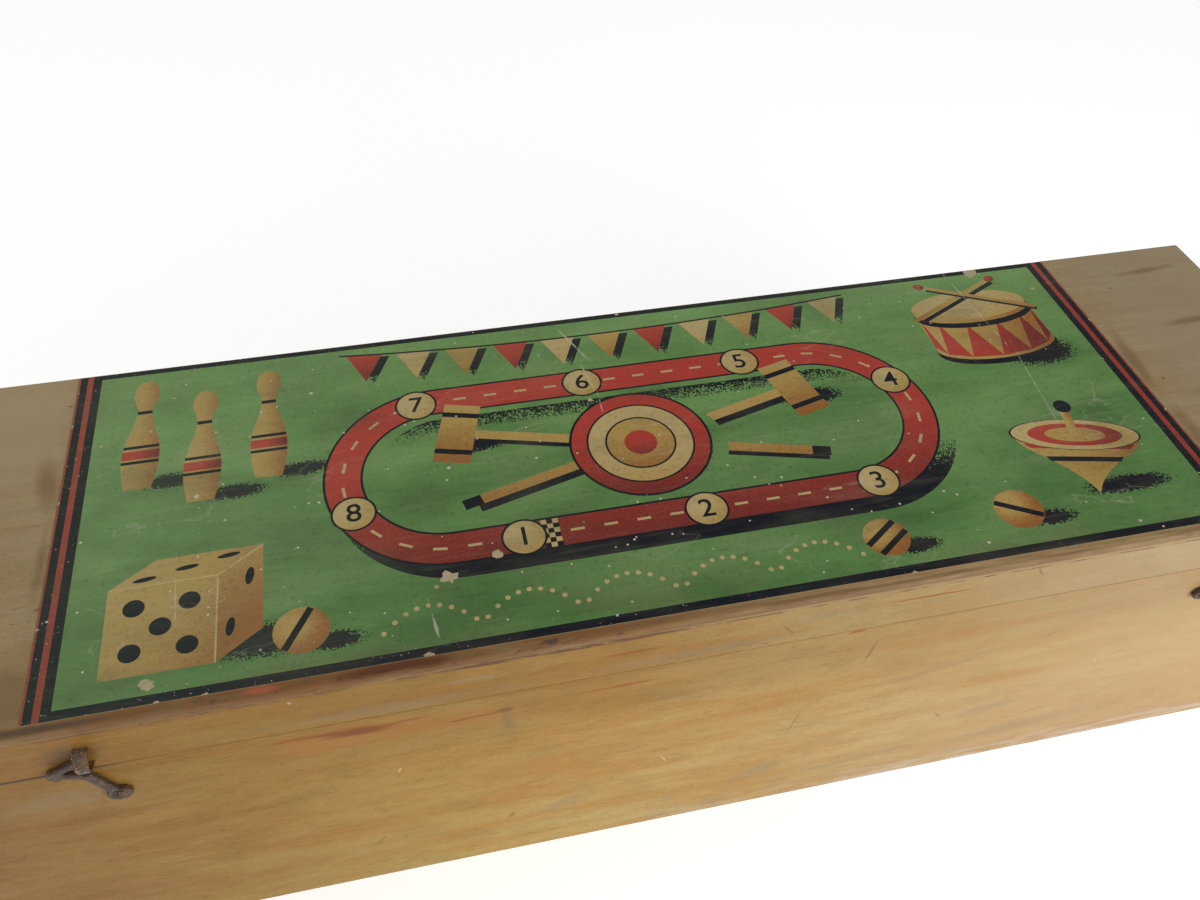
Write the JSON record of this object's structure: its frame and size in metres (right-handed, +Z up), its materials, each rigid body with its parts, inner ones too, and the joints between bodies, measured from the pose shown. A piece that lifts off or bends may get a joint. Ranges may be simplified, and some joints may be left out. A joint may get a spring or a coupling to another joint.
{
  "type": "obstacle ball game",
  "caption": "Long wooden game box with a hinged lid, a printed paper label and swing hooks, holding clubs, balls and toy obstacles.",
  "frame": {"origin": "centre of the box's underside", "axes": "+X along the box to the right as seen from the front, +Y to the hinges at the back, +Z up"},
  "size_m": [0.804, 0.2433, 0.2062],
  "materials": {
    "case_wood": "aged pale softwood, worn varnish",
    "lid_wood": "aged pale softwood, grey and worn on top",
    "label_paper": "printed paper, green with a black frame, creased",
    "rusty_iron": "dark, rusty iron",
    "hinge_steel": "dull aged steel",
    "toy_wood": "clear-varnished beech with painted bands and numbers",
    "roof_paint": "red painted wood, rubbed at the edges",
    "ball_wood": "turned, varnished wood",
    "club_wood": "steam-bent, varnished wood with painted bands"
  },
  "bodies": {
    "case": {"front_board": "case_wood", "back_board": "case_wood", "left_end_board": "case_wood", "right_end_board": "case_wood", "bottom_board": "case_wood", "hook_screws": "rusty_iron", "case_hinge_leaves": "hinge_steel", "case_hinge_screws": "hinge_steel", "hinge_pins": "hinge_steel", "single_arch": "toy_wood", "double_arch": "toy_wood", "triple_arch": "toy_wood", "gate": "toy_wood", "tunnel_house": "toy_wood", "ramp": "toy_wood", "hump_bridge": "toy_wood", "ring_target": "toy_wood", "cup_disc": "toy_wood", "house_roof": "roof_paint", "plain_ball": "ball_wood", "banded_ball": "ball_wood", "left_club": "club_wood", "right_club": "club_wood"},
    "lid": {"lid_top_board": "lid_wood", "lid_front_rail": "lid_wood", "lid_back_rail": "lid_wood", "lid_left_rail": "lid_wood", "lid_right_rail": "lid_wood", "label": "label_paper", "left_staple": "rusty_iron", "right_staple": "rusty_iron", "lid_hinge_leaves": "hinge_steel", "lid_hinge_screws": "hinge_steel"},
    "left_hook": {"left_hook": "rusty_iron"},
    "right_hook": {"right_hook": "rusty_iron"}
  },
  "joints": [
    {"name": "lid_hinge", "type": "hinge", "parent": "case", "child": "lid", "pos_m": [0, 0.11775, 0.172], "axis": [-1, 0, 0], "range_deg": [0, 180]},
    {"name": "left_hook_turn", "type": "hinge", "parent": "case", "child": "left_hook", "pos_m": [-0.2745, -0.115, 0.1496], "axis": [0, -1, 0], "range_deg": [-10, 157]},
    {"name": "right_hook_turn", "type": "hinge", "parent": "case", "child": "right_hook", "pos_m": [0.2915, -0.115, 0.1496], "axis": [0, 1, 0], "range_deg": [-10, 157]}
  ]
}
